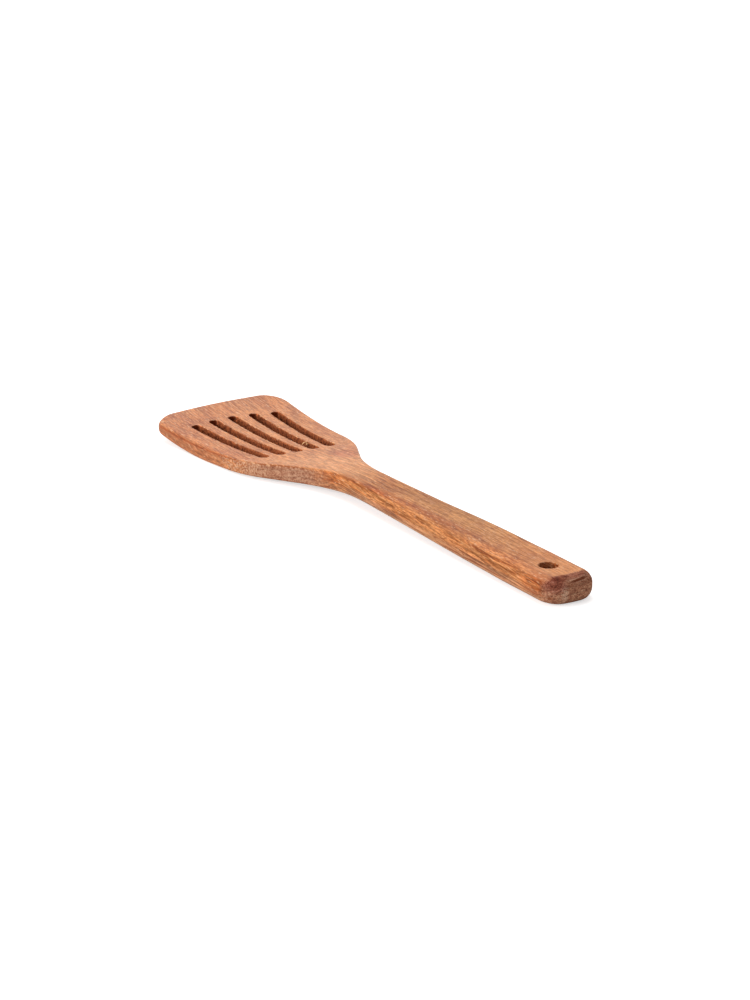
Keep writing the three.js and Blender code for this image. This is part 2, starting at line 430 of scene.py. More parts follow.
@labelled
class TurnerProfile(bpy.types.PropertyGroup):
    """Side profile of the blank and the rounding of its rims."""

    front_thickness: length("Blade at its front edge", 4.1)
    dish_place: length("Lowest corner of the upper side", 44)
    dish_height: length("Height of that corner", 4.05)
    dish_radius: length("Hollow of the blade's face", 455)
    crest_place: length("Highest corner of the upper side", 141)
    crest_height: length("Height of that corner", 12.89)
    crest_radius: length("Rounding over the neck", 300)
    handle_end_thickness: length("Handle at its end", 11.65)
    front_lift: length("Underside of the front edge above the table", 6.75)
    belly_place: length("Lowest corner of the underside", 39.5)
    belly_height: length("Height of that corner", -0.75)
    belly_radius: length("Rounding of the blade's belly", 195)
    arch_place: length("Highest corner of the underside", 157.5)
    arch_height: length("Height of that corner", 3.8)
    arch_radius: length("Rounding under the neck", 305)
    blade_rim: length("Rim radius along the blade's front half", 2.2)
    shoulder_rim: length("Rim radius along the shoulders, left crisp", 1.5)
    handle_rim: length("Rim radius along the handle", 3.6)
    end_side_rim: length("Rim radius along the sides of the handle's end", 5.1)
    end_face_rim: length("How far the rims of the end drop", 3.8)
    end_face_reach: length("How far the upper rim of the end reaches in", 8)
    worn_rim: length("How far the worn near rim of the handle drops", 4.6)
    worn_reach: length("How far that rim reaches in", 7.6)
    near_reach: length("How far the near upper rim of the blade reaches in", 4.2)
    near_drop: length("How far that rim drops", 2.5)
    crisp_share: share("How much smaller the crisp rims are than the others", 0.42)
    upper_share: share("Most of the thickness that an upper rim takes", 0.53)
    lower_share: share("Most of the thickness that a lower rim takes", 0.45)


@labelled
class TurnerOpenings(bpy.types.PropertyGroup):
    """Drain slots and hang hole."""

    slot_count: IntProperty(description="Slots in the fan", default=5, min=1, max=9)
    slot_width: length("Width of each slot", 5)
    slot_front_place: length("Front end of the middle slot", 20)
    slot_front_setback: length("How far the outer slots start behind", 3.4)
    slot_front_pitch: length("From slot to slot at the front", 11.4)
    slot_rear_place: length("Rear end of all slots", 88)
    slot_rear_pitch: length("From slot to slot at the rear", 9.2)
    hole_diameter: length("Hang hole", 8.5)
    hole_place: length("Middle of the hang hole from the handle's end", 20.5)
    rim_ease: length("Rounding of the openings' rims", 0.45)
    rim_raggedness: share("How unevenly the rims are rounded", 0.75)


@labelled
class WoodFinish(bpy.types.PropertyGroup):
    """Colours and finish of the oiled wood."""

    dark_streak: colour("Darkest figure on long grain", 0.285, 0.076, 0.023)
    brown: colour("Darker half of the figure", 0.445, 0.145, 0.042)
    orange: colour("Main colour of the wood", 0.555, 0.201, 0.065)
    pale_fibre: colour("Palest figure on long grain", 0.66, 0.264, 0.09)
    pore: colour("Open pores, curled figure and the crack", 0.16, 0.042, 0.015)
    # Partly painted light: mixed in where patches light up the blade's rear, its neck and the handle's end,
    # and as paler wood elsewhere
    pale_crest: colour("Mixed into the wood in its paler zones", 0.78, 0.36, 0.14)
    grey_tint: tint("the wood in its greyer zones", 0.91, 0.9, 0.94)
    heart_tint: tint("the wood in its red zones", 0.8, 0.62, 0.54)
    rosy_tint: tint("the wood in the clouds of the blade", 0.84, 0.74, 0.69)
    top_tint: tint("the upper faces", 1.0, 1.0, 0.9)
    shade_tint: tint("the darker half of the upper figure", 0.93, 0.76, 0.64)
    low_tint: tint("the lower band of the handle's sides", 0.88, 0.9, 0.94)
    side_tint: tint("the handle's sides", 0.88, 0.92, 0.97)
    calm_tint: tint("the sides of the blade's front", 0.81, 0.76, 0.9)
    # Painted shade in patches, most of all over the blade's front
    dark_tint: tint("the wood in its darker zones", 0.9, 0.86, 0.8)
    handle_tint: tint("the browner middle of the handle's top", 0.88, 1.0, 1.0)
    foxed_tint: tint("the red long grain before the end", 0.98, 0.8, 0.72)
    rim_tint: tint("a line below the blade's near rim", 0.8, 0.6, 0.52)
    end_pale: colour("Walls of the cut fibres, and scuffs", 0.6, 0.345, 0.212)
    end_middle: colour("Main colour of the cut fibres", 0.39, 0.167, 0.094)
    end_dark: colour("Openings of the cut fibres", 0.185, 0.068, 0.041)
    bleached: colour("Washed-out streaks on end grain", 0.68, 0.45, 0.31)
    butt_tint: tint("the end grain of the handle's end", 1.0, 0.98, 0.98)
    purple_tint: tint("the near corner of the end", 0.77, 0.61, 0.66)
    butt_rim_tint: tint("the rim of the end", 0.46, 0.27, 0.23)
    wall: colour("Sawn walls of the openings", 0.5, 0.142, 0.05)
    wall_dark: colour("Burnt and oily spots on those walls", 0.12, 0.028, 0.01)
    hole_tint: tint("the hang hole's wall and the slots' front ends", 1.0, 0.86, 0.55)
    # Painted shade: darkens the slots' front tips, where their walls face away from the lamps
    tip_tint: tint("the burnt tips of the slots", 0.44, 0.21, 0.14)
    chip: colour("Fresh wood of chips and flecks", 0.78, 0.46, 0.26)
    raw_fibre: colour("Torn fibres that took no oil", 1.0, 0.6, 0.29)
    roughness: share("Of the oiled faces", 0.44)
    blade_sheen: share("Specular level of the blade", 0.62)
    handle_sheen: share("Specular level of the handle", 0.22)
    wall_roughness: share("Of the walls of openings", 0.85)


@labelled
class StudioSettings(bpy.types.PropertyGroup):
    """Camera, lamps and even light."""

    azimuth: angle("Turn of the camera round the turner, from looking along +Y", 58.289)
    elevation: angle("Height of the camera above the horizon", 17.832)
    distance: length("From the camera to the middle of the turner", 1500)
    lens: FloatProperty(description="Focal length", default=115.783, unit="CAMERA")
    offset_right: length("How far the camera stands to the right of its aim", -1.143)
    offset_up: length("How far the camera stands above its aim", -4.75)
    ambient: FloatProperty(description="Strength of the even light", default=0.4, min=0)
    top_power: power("Power of the lamp overhead", 20)
    side_power: power("Power of the lamp at the near side", 20.5)


def tangent_arcs(corners):
    """Arcs that round the inner corners of a path, each tangent to both of its legs."""
    spots = [Vector(corner[:2]) for corner in corners]
    legs = [after - before for before, after in zip(spots, spots[1:])]
    arcs = []
    for before, after, corner in zip(legs, legs[1:], corners[1:]):
        radius = corner[2]
        turn = math.atan2(before.cross(after), before.dot(after))
        reach = radius * math.tan(abs(turn) / 2)
        spot = Vector(corner[:2])
        heading = before.normalized()
        leaving = after.normalized()
        start = spot - heading * reach
        to_center = Vector((-heading.y, heading.x)) * math.copysign(radius, turn)
        arc = {"start": start, "end": spot + leaving * reach, "center": start + to_center}
        arcs.append({**arc, "radius": radius, "turn": turn, "heading": heading, "leaving": leaving})
    return arcs


def turned(vector, turn):
    """A plan vector turned to the left."""
    cosine, sine = math.cos(turn), math.sin(turn)
    return Vector((vector.x * cosine - vector.y * sine, vector.x * sine + vector.y * cosine))


def arc_points(arc, first, last, step):
    """Points of an arc from one share of it to another, each with the normal to the left of the path."""
    sweep = arc["turn"] * (last - first)
    count = max(math.ceil(abs(sweep) * arc["radius"] / step), math.ceil(abs(sweep) / LARGEST_TURN), 1)
    points = []
    for i in range(count + 1):
        turn = arc["turn"] * first + sweep * i / count
        heading = turned(arc["heading"], turn)
        spoke = turned(arc["start"] - arc["center"], turn)
        points.append((arc["center"] + spoke, Vector((-heading.y, heading.x))))
    return points


def straight_points(start, end, step):
    """Points inside a straight stretch, each with the normal to the left of the path."""
    run = end - start
    count = math.ceil(run.length / step)
    heading = run.normalized()
    normal = Vector((-heading.y, heading.x))
    return [(start.lerp(end, i / count), normal) for i in range(1, count)]


def closed_outline(corners, step):
    """A ring that is symmetric about the X axis, from the corners of its left side.

    The first and the last corner lie on the axis, where the side goes on as its own mirror image.
    """
    x, y, radius = corners[1]
    before = (x, -y, radius)
    x, y, radius = corners[-2]
    after = (x, -y, radius)
    arcs = tangent_arcs([before, *corners, after])
    side = []
    for i, arc in enumerate(arcs):
        first = 0.5 if i == 0 else 0
        last = 0.5 if i == len(arcs) - 1 else 1
        if arc["radius"] > 0:
            side += arc_points(arc, first, last, step)
        if i < len(arcs) - 1:
            side += straight_points(arc["end"], arcs[i + 1]["start"], step)
    kept = [side[0]]
    for point in side[1:]:
        if (point[0] - kept[-1][0]).length > CLOSEST_POINTS:
            kept.append(point)
    if abs(kept[0][0].y) > SAME_POINT:
        kept.insert(0, (Vector((corners[0][0], 0)), Vector((-1, 0))))
    if abs(kept[-1][0].y) > SAME_POINT:
        kept.append((Vector((corners[-1][0], 0)), Vector((1, 0))))
    flip = Vector((1, -1))
    mirrored = [(at * flip, normal * flip) for at, normal in reversed(kept[1:-1])]
    return kept + mirrored


def profile_height(corners):
    """A function that gives the height of a profile at any place along the turner."""
    arcs = tangent_arcs(corners)

    def height(x):
        for arc in arcs:
            if x < arc["start"].x:
                heading = arc["heading"]
                return arc["start"].y + (x - arc["start"].x) * heading.y / heading.x
            if x <= arc["end"].x:
                rise = math.sqrt(arc["radius"] ** 2 - (x - arc["center"].x) ** 2)
                return arc["center"].y - math.copysign(rise, arc["turn"])
        last = arcs[-1]
        return last["end"].y + (x - last["end"].x) * last["leaving"].y / last["leaving"].x

    return height


def eased(x, start, end):
    """A smooth step from 0 at start to 1 at end."""
    t = min(max((x - start) / (end - start), 0), 1)
    return t * t * (3 - 2 * t)


def eased_by(x, place, shares):
    """A smooth step between two shares of a place."""
    return eased(x, shares[0] * place, shares[1] * place)


def eased_before(x, end, distances):
    """A smooth step between two distances before the end."""
    return eased(x, end - distances[0], end - distances[1])


def unevenness(place, size, seed):
    """A smooth random value from about -1 to 1 that changes over the given size."""
    return noise.noise(Vector((place.x / size, place.y / size, seed)))


def start_piece(name):
    """Leaves nothing selected and opens a new, empty mesh for modelling."""
    if bpy.context.mode != "OBJECT":
        bpy.ops.object.mode_set(mode="OBJECT")
    bpy.ops.object.select_all(action="DESELECT")
    bpy.ops.mesh.primitive_plane_add(size=MM)
    piece = bpy.context.active_object
    piece.name = name
    piece.data.name = name
    bpy.ops.object.mode_set(mode="EDIT")
    bpy.ops.mesh.delete(type="VERT")
    return piece


def place_ring(piece, level):
    """Moves the selected ring to the places of a level and writes what its points carry."""
    bm = bmesh.from_edit_mesh(piece.data)
    layers = bm.verts.layers
    for vert in bm.verts:
        if not vert.select:
            continue
        point = level[vert[layers.int[ORDER]]]
        at = point["at"]
        flat = point[SHARE] * (FLAT_THICKNESS - point[DROP]) + (1 - point[SHARE]) * point[RISE]
        vert.co = (at.x, at.y, flat)
        vert[layers.int[CAP]] = point[CAP]
        for name in FLOAT_DATA:
            vert[layers.float[name]] = point[name]
    bmesh.update_edit_mesh(piece.data)


def draw_ring(piece, levels):
    """Draws the first level as a closed loop and extrudes it from level to level."""
    bpy.ops.mesh.select_all(action="DESELECT")
    bpy.ops.mesh.primitive_circle_add(vertices=len(levels[0]), radius=MM)
    bm = bmesh.from_edit_mesh(piece.data)
    order = bm.verts.layers.int[ORDER]
    drawn = [vert for vert in bm.verts if vert.select]
    drawn.sort(key=lambda vert: math.atan2(vert.co.y, vert.co.x))
    for i, vert in enumerate(drawn):
        vert[order] = i
    bmesh.update_edit_mesh(piece.data)
    place_ring(piece, levels[0])
    for level in levels[1:]:
        bpy.ops.mesh.extrude_edges_indiv()
        place_ring(piece, level)


def fill_cap(piece, cap):
    """Fills the face that the rings of one cap leave open, around its holes."""
    bpy.ops.mesh.select_mode(type="EDGE")
    bpy.ops.mesh.select_all(action="DESELECT")
    bm = bmesh.from_edit_mesh(piece.data)
    mark = bm.verts.layers.int[CAP]
    for edge in bm.edges:
        if all(vert[mark] == cap for vert in edge.verts):
            edge.select = True
    bmesh.update_edit_mesh(piece.data)
    bpy.ops.mesh.fill(use_beauty=False)
    bpy.ops.mesh.select_mode(type="FACE")
    bpy.ops.mesh.dissolve_limited(angle_limit=FLAT_ANGLE)


def cut_stations(piece, half_width):
    """Cuts both caps into small faces along and across the turner, so that they can take a curve."""
    bm = bmesh.from_edit_mesh(piece.data)
    mark = bm.verts.layers.int[CAP]
    bpy.ops.mesh.select_all(action="DESELECT")
    for face in bm.faces:
        marks = {vert[mark] for vert in face.verts}
        face.select = marks in ({TOP_CAP}, {BOTTOM_CAP})
    bm.select_flush_mode()
    bmesh.update_edit_mesh(piece.data)
    bpy.ops.mesh.hide(unselected=True)
    ends = [vert.co.x for vert in bm.verts]
    along = math.floor((max(ends) - min(ends)) / STATION_STEP)
    across = math.floor(half_width / STATION_STEP)
    planes = [((min(ends) + i * STATION_STEP, 0, 0), (1, 0, 0)) for i in range(1, along + 1)]
    planes += [((0, i * STATION_STEP, 0), (0, 1, 0)) for i in range(-across, across + 1)]
    for place, normal in planes:
        bpy.ops.mesh.select_all(action="SELECT")
        bpy.ops.mesh.bisect(plane_co=place, plane_no=normal, threshold=SAME_POINT)
    bpy.ops.mesh.reveal(select=False)


class CarvedTurner:
    """Places and heights of the carved blank, from the sizes in the sidebar."""

    def __init__(self, outline, profile, openings):
        self.outline = outline
        self.profile = profile
        self.openings = openings
        end = outline.turner_length
        self.top = profile_height(
            [
                (0, profile.front_lift + profile.front_thickness, 0),
                (profile.dish_place, profile.dish_height, profile.dish_radius),
                (profile.crest_place, profile.crest_height, profile.crest_radius),
                (end, profile.handle_end_thickness, 0),
            ]
        )
        self.underside = profile_height(
            [
                (0, profile.front_lift, 0),
                (profile.belly_place, profile.belly_height, profile.belly_radius),
                (profile.arch_place, profile.arch_height, profile.arch_radius),
                (end, 0, 0),
            ]
        )

    def skewed(self, at):
        """A plan point moved by the skew of the front edge."""
        sizes = self.outline
        fade = 1 - eased(at.x, 0, sizes.front_skew_reach)
        across = at.y / (sizes.blade_front_width / 2)
        return Vector((at.x - sizes.front_skew * across * fade, at.y))

    def rim_size(self, x, normal, upper):
        """How far a rim reaches in and how far it drops, at a place along the turner.

        The rims that faced the sander stayed crisp: above along the front and the far side, below along
        the near side. The near rim of the handle is worn round by the hand.
        """
        profile = self.profile
        rear = self.outline.blade_rear_place
        neck = self.outline.neck_place
        end = self.outline.turner_length
        radius = profile.blade_rim
        radius += (profile.shoulder_rim - profile.blade_rim) * eased_by(x, rear, SHOULDER_RIM)
        radius += (profile.handle_rim - profile.shoulder_rim) * eased_by(x, neck, HANDLE_RIM)
        radius += (profile.end_side_rim - profile.handle_rim) * eased_before(x, end, END_SIDES)
        near = max(-normal.y, 0) ** 2
        away = max(normal.y, 0) ** 2 + max(-normal.x, 0) ** 2
        on_blade = 1 - eased_by(x, neck, CRISP_BLADE)
        on_handle = HANDLE_CRISPNESS * eased_by(x, neck, CRISP_HANDLE)
        on_handle *= 1 - eased_before(x, end, CRISP_HANDLE_END)
        crisp = away * (on_blade + on_handle) if upper else near * (on_blade + LOWER_CRISPNESS * on_handle)
        radius *= 1 - profile.crisp_share * min(crisp, 1)
        reach = drop = radius
        if upper:
            toward_corner = max(SOFT_CORNER[0] * normal.x + SOFT_CORNER[1] * normal.y, 0) ** 2
            softened = toward_corner * (1 - eased_by(x, rear, SOFT_RIM))
            reach += (profile.near_reach - reach) * softened
            drop += (profile.near_drop - drop) * softened
            worn = near * eased_by(x, neck, WORN_HANDLE)
            reach += (profile.worn_reach - reach) * worn
            drop += (profile.worn_rim - drop) * worn
        on_face = max(normal.x, 0) ** 2 * eased_before(x, end, END_FACE)
        face_reach = profile.end_face_reach if upper else profile.end_face_rim
        reach += (face_reach - reach) * on_face
        drop += (profile.end_face_rim - drop) * on_face
        most = profile.upper_share if upper else profile.lower_share
        return reach, min(drop, most * (self.top(x) - self.underside(x)))

    def levels(self, ring, upper_rims, lower_rims, rim_steps, wall_steps, sawn=0.0):
        """Rings from the upper face over its rim, down the wall and over the lower rim to the lower face.

        Each rim is given by how far it reaches in from the wall and how far it drops.
        """
        levels = []
        for upper, rims in ((True, upper_rims), (False, lower_rims)):
            for i in range(rim_steps + 1):
                lean = math.pi / 2 * (i if upper else rim_steps - i) / rim_steps
                cap = TOP_CAP if upper else BOTTOM_CAP
                bulge = 0.0 if sawn else math.sin(2 * lean) * (1 if upper else -1)
                level = []
                for (at, normal), (reach, drop) in zip(ring, rims):
                    sink = drop * (1 - math.cos(lean))
                    level.append(
                        {
                            "at": at - normal * reach * (1 - math.sin(lean)),
                            SHARE: 1.0 if upper else 0.0,
                            DROP: sink,
                            RISE: sink,
                            CAP: cap if lean == 0 else 0,
                            OPENING_WALL: sawn * math.sin(lean),
                            RIM: bulge,
                        }
                    )
                levels.append(level)
            if upper:
                edge = levels[-1]
                for i in range(1, wall_steps):
                    part = 1 - i / wall_steps
                    wall = [{**point, SHARE: part, RISE: rim[1]} for point, rim in zip(edge, lower_rims)]
                    levels.append(wall)
        return levels

    def outline_levels(self):
        """Rings of the outer rim, from the edge of the upper face round to the edge of the lower one."""
        sizes = self.outline
        front_half = sizes.blade_front_width / 2
        end_half = sizes.handle_end_width / 2
        front_tip = -sizes.front_bow_radius * (1 / math.cos(sizes.front_sweep) - 1)
        end_tip = sizes.turner_length + sizes.end_bow_radius * (1 / math.cos(sizes.end_sweep) - 1)
        front_corner = front_tip + front_half * math.tan(sizes.front_sweep)
        end_corner = end_tip - end_half * math.tan(sizes.end_sweep)
        corners = [
            (front_tip, 0, sizes.front_bow_radius),
            (front_corner, front_half, sizes.front_corner_radius),
            (sizes.blade_rear_place, sizes.blade_rear_width / 2, sizes.shoulder_radius),
            (sizes.neck_place, sizes.neck_width / 2, sizes.neck_radius),
            (end_corner, end_half, sizes.end_corner_radius),
            (end_tip, 0, sizes.end_bow_radius),
        ]
        ring = closed_outline(corners, OUTLINE_STEP)
        upper_rims = [self.rim_size(self.skewed(at).x, normal, True) for at, normal in ring]
        lower_rims = [self.rim_size(self.skewed(at).x, normal, False) for at, normal in ring]
        levels = self.levels(ring, upper_rims, lower_rims, RIM_STEPS, WALL_STEPS)
        for level in levels:
            for point in level:
                point["at"] = self.skewed(point["at"])
        return levels

    def ragged_rims(self, ring, seed):
        """Rims of an opening, which reach out from its wall, uneven as the tool left them."""
        rough = self.openings.rim_raggedness
        bumps = [1 + rough * RAGGED_DEPTH * unevenness(at, RAGGED_SIZE, seed) for at, _ in ring]
        radii = [self.openings.rim_ease * max(bump, LEAST_RIM) for bump in bumps]
        return [(-radius, radius) for radius in radii]

    def opening_levels(self, ring, seed, sawn):
        """Rings of a through opening, from the upper face down its wall to the lower face."""
        upper_rims = self.ragged_rims(ring, seed)
        lower_rims = self.ragged_rims(ring, seed + LOWER_SEED)
        return self.levels(ring, upper_rims, lower_rims, OPENING_RIM_STEPS, OPENING_WALL_STEPS, sawn)

    def slot_ring(self, index):
        """Plan ring of one slot of the fan, counted from the near side."""
        sizes = self.openings
        off_center = index - (sizes.slot_count - 1) / 2
        outermost = max((sizes.slot_count - 1) / 2, 1)
        setback = sizes.slot_front_setback * (off_center / outermost) ** 2
        front = Vector((sizes.slot_front_place + setback, off_center * sizes.slot_front_pitch))
        rear = Vector((sizes.slot_rear_place, off_center * sizes.slot_rear_pitch))
        run = rear - front
        half = sizes.slot_width / 2
        corners = [(0, 0, 0), (0, half, half), (run.length, half, half), (run.length, 0, 0)]
        turn = math.atan2(run.y, run.x)
        ring = closed_outline(corners, SLOT_STEP)
        return [(front + turned(at, turn), turned(normal, turn)) for at, normal in ring]

    def hole_ring(self):
        """Plan ring of the hang hole."""
        half = self.openings.hole_diameter / 2
        front = Vector((self.outline.turner_length - self.openings.hole_place - half, 0))
        corners = [(0, 0, 0), (0, half, half), (2 * half, half, half), (2 * half, 0, 0)]
        return [(front + at, normal) for at, normal in closed_outline(corners, SLOT_STEP)]


def raise_to_profile(piece, carved):
    """Raises the flat blank to its upper and lower profiles, and sets it in the frame of the part."""
    bm = bmesh.from_edit_mesh(piece.data)
    floats = bm.verts.layers.float
    for vert in bm.verts:
        x = vert.co.x
        upper = carved.top(x) - vert[floats[DROP]]
        lower = carved.underside(x) + vert[floats[RISE]]
        vert.co.z = lower + (upper - lower) * vert[floats[SHARE]]
    lowest = min(vert.co.z for vert in bm.verts)
    rearmost = max(vert.co.x for vert in bm.verts)
    shift = Vector((cad_high.x - rearmost, 0, cad_low.z - lowest))
    for vert in bm.verts:
        vert.co += shift
    bmesh.update_edit_mesh(piece.data)


class Nodes:
    """Adds nodes to one tree and links them."""

    def __init__(self, tree):
        self.tree = tree

    def join(self, value, socket):
        """Links a socket to another one, or sets its value."""
        if isinstance(value, bpy.types.NodeSocket):
            self.tree.links.new(value, socket)
        else:
            socket.default_value = value

    def add(self, kind, inputs=None, **settings):
        """A new shader node with its settings and inputs."""
        made = self.tree.nodes.new("ShaderNode" + kind)
        for name, value in settings.items():
            setattr(made, name, value)
        for name, value in (inputs or {}).items():
            self.join(value, made.inputs[name])
        return made

    def calc(self, operation, *values, clamp=False):
        """The result of a Math node."""
        return self.add("Math", dict(enumerate(values)), operation=operation, use_clamp=clamp).outputs[0]

    def times(self, product, *factors):
        """The product of several values."""
        for factor in factors:
            product = self.calc("MULTIPLY", product, factor)
        return product

    def line(self, value, slope, start):
        """A value times a slope, from a start."""
        return self.calc("MULTIPLY_ADD", value, slope, start)

    def rest(self, value):
        """What a value leaves of 1."""
        return self.calc("SUBTRACT", 1.0, value)

    def vector(self, operation, *values):
        """The result of a Vector Math node that puts out a vector."""
        return self.add("VectorMath", dict(enumerate(values)), operation=operation).outputs[0]

    def size_of(self, vector):
        """The length of a vector."""
        return self.add("VectorMath", {0: vector}, operation="LENGTH").outputs["Value"]

    def span(self, value, low, high, to_low=0.0, to_high=1.0):
        """A value that goes smoothly from one level to another."""
        inputs = {"Value": value, "From Min": low, "From Max": high, "To Min": to_low, "To Max": to_high}
        return self.add("MapRange", inputs, interpolation_type="SMOOTHSTEP").outputs[0]

    def texture(self, place, scale, detail, roughness):
        """A noise texture."""
        inputs = {"Vector": place, "Scale": scale, "Detail": detail, "Roughness": roughness}
        return self.add("TexNoise", inputs).outputs

    def grain_texture(self, place, stretch, *look):
        """Noise that is drawn out along the grain, which runs along X."""
        return self.texture(self.vector("MULTIPLY", place, (1 / stretch, 1, 1)), *look)

    def patch(self, place, middle, radii):
        """A soft patch of 1 that fades to 0 at its radii."""
        off = self.vector("SUBTRACT", place, middle)
        return self.span(self.size_of(self.vector("DIVIDE", off, radii)), 1.0, PATCH_CORE)

    def axes(self, vector):
        """The three parts of a vector."""
        return self.add("SeparateXYZ", {0: vector}).outputs

    def ramp(self, value, places, colours):
        """A colour ramp with a colour at each place."""
        made = self.add("ValToRGB", {"Fac": value})
        elements = made.color_ramp.elements
        while len(elements) < len(places):
            elements.new(0.5)
        for element, place, stop in zip(elements, places, colours):
            element.position = place
            element.color = (*stop, 1)
        return made.outputs["Color"]

    def bump(self, height, strength, distance):
        """The normal of a surface with a fine relief."""
        inputs = {"Height": height, "Strength": strength, "Distance": distance}
        return self.add("Bump", inputs).outputs["Normal"]


class Paint:
    """A colour that is built up in layers, each laid on where all of its masks let it."""

    def __init__(self, nodes, ground):
        self.nodes = nodes
        self.colour = ground

    def layer(self, mode, second, masks):
        """Lays on a colour, or a colour or value from a socket."""
        if not isinstance(second, bpy.types.NodeSocket):
            second = (*second, 1)
        made = self.nodes.add("Mix", data_type="RGBA", blend_type=mode)
        for index, value in ((0, self.nodes.times(*masks)), (6, self.colour), (7, second)):
            self.nodes.join(value, made.inputs[index])
        self.colour = made.outputs[2]

    def cover(self, second, *masks):
        """Mixes a colour in."""
        self.layer("MIX", second, masks)

    def tint(self, second, *masks):
        """Multiplies by a colour."""
        self.layer("MULTIPLY", second, masks)


def wood_figure_group():
    """A node group that puts out the figure of the wood as masks, from a place in millimetres."""
    tree = bpy.data.node_groups.new(FIGURE_GROUP, "ShaderNodeTree")
    tree.interface.new_socket("Place", in_out="INPUT", socket_type="NodeSocketVector")
    place = tree.nodes.new("NodeGroupInput").outputs["Place"]
    nodes = Nodes(tree)

    centred = nodes.vector("SUBTRACT", nodes.grain_texture(place, *WAVES)["Color"], (NOISE_MEAN,) * 3)
    wavy = nodes.vector("ADD", place, nodes.vector("MULTIPLY", centred, WAVE_HEIGHTS))
    along, across, _ = nodes.axes(place)
    fall = nodes.span(across, *NEAR_SIDE, GRAIN_FALL, GRAIN_FALL_NEAR)
    bent = nodes.span(along, *FRONT_BEND_SPAN, 0, -FRONT_BEND)
    lean = {"Y": nodes.times(along, GRAIN_DRIFT), "Z": nodes.line(along, fall, bent)}
    grain = nodes.vector("ADD", wavy, nodes.add("CombineXYZ", lean).outputs[0])
    shifted = nodes.vector("ADD", grain, FIGURE_SHIFT)
    places = {"board": place, "grain": grain, "shifted grain": shifted}

    masks = {}
    for name, (where, *look) in FIGURE.items():
        masks[name] = nodes.grain_texture(places[where], *look)[0]
    for name, limits in SPARSE_FIGURE.items():
        masks[name] = nodes.span(masks[name], *limits)
    off_pith = nodes.vector("MULTIPLY", nodes.vector("SUBTRACT", grain, PITH), ACROSS_GRAIN)
    ring_count = nodes.calc("DIVIDE", nodes.size_of(off_pith), RING_WIDTH)
    masks["rings"] = nodes.calc("FRACT", nodes.line(masks["drift"], RING_WAVES, ring_count))

    for name in masks:
        tree.interface.new_socket(name, in_out="OUTPUT", socket_type="NodeSocketFloat")
    out = tree.nodes.new("NodeGroupOutput")
    for name, value in masks.items():
        nodes.join(value, out.inputs[name])
    return tree


class Surface:
    """What a material reads of the wood. Masks, patches and noises are made when they are first read."""

    def __init__(self, nodes, figure):
        self.nodes = nodes
        coordinates = nodes.add("TexCoord").outputs
        self.normal = coordinates["Normal"]
        self.place = nodes.vector("MULTIPLY", coordinates["Object"], MM_PER_METRE)
        group = nodes.add("Group", node_tree=figure)
        nodes.join(self.place, group.inputs["Place"])
        self.figure = group.outputs

    def __getattr__(self, name):
        """Makes what one of the tables, the point data or the figure has under a name."""
        nodes = self.nodes
        if name in MASKS:
            source, *limits = MASKS[name]
            made = nodes.span(getattr(self, source), *limits)
        elif name in PATCHES:
            made = nodes.patch(self.place, *PATCHES[name])
        elif name in NOISES:
            stretch, *look = NOISES[name]
            made = nodes.texture(nodes.vector("MULTIPLY", self.place, stretch), *look)[0]
        elif name in READ_DATA:
            made = nodes.add("Attribute", attribute_name=name).outputs["Fac"]
        else:
            made = self.figure[name]
        setattr(self, name, made)
        return made


def read_board(nodes, on):
    """Adds what tells the faces, sides, rims and zones of the board apart."""
    on.along, on.across, on.above = nodes.axes(on.place)
    on.endward, on.farward, on.upward = nodes.axes(on.normal)
    on.sideward = nodes.calc("ABSOLUTE", on.farward)
    on.away = nodes.calc("MAXIMUM", on.farward, nodes.times(on.endward, -1.0))
    on.off_top = nodes.rest(on.top)
    on.off_butt = nodes.rest(on.butt)
    on.neck = nodes.times(on.neck_patch, on.top)
    on.calm = nodes.times(on.calm_zone, on.side)
    on.handle = nodes.times(on.handle_zone, on.side)
    on.low = nodes.times(on.low_band, on.side, on.low_zone)

    on.upper_rim = nodes.calc("MAXIMUM", on.rim, 0.0)
    on.lower_rim = nodes.calc("MAXIMUM", nodes.times(on.rim, -1.0), 0.0)
    on.butt_rim = nodes.times(on.upper_rim, on.butt)
    uneven = nodes.line(on.specks, *UNEVENNESS)
    on.ragged_rim = nodes.calc("ADD", on.butt_rim, uneven)
    on.ragged_end = nodes.line(uneven, END_RAGGEDNESS, nodes.line(on.sideward, END_RIM_LEAN, on.endward))
    on.ragged_arc = nodes.line(uneven, ARC_RAGGEDNESS, on.endward)
    on.end_rim = nodes.times(on.end_rim_start, on.rim_side, on.end_rim_fade)
    steep = nodes.line(nodes.calc("ABSOLUTE", on.upward), *BUTT_STEEPNESS)
    on.cut_angle = nodes.line(steep, on.butt, nodes.calc("ABSOLUTE", on.endward))
    on.crosscut = nodes.calc("MAXIMUM", on.cut_across, on.end_rim)

    on.shade = nodes.line(on.fibres, FIBRE_SHADE, nodes.times(on.mottle, MOTTLE_SHADE))
    on.curled = nodes.times(on.curls, on.side_curls, on.low_curls, on.calm_curls)
    off_crack = nodes.calc("SUBTRACT", on.above, nodes.line(on.across, CRACK_RISE, CRACK_HEIGHT))
    wavering = nodes.calc("ADD", off_crack, nodes.calc("SUBTRACT", on.layers, NOISE_MEAN))
    on.off_crack = nodes.calc("ABSOLUTE", wavering)


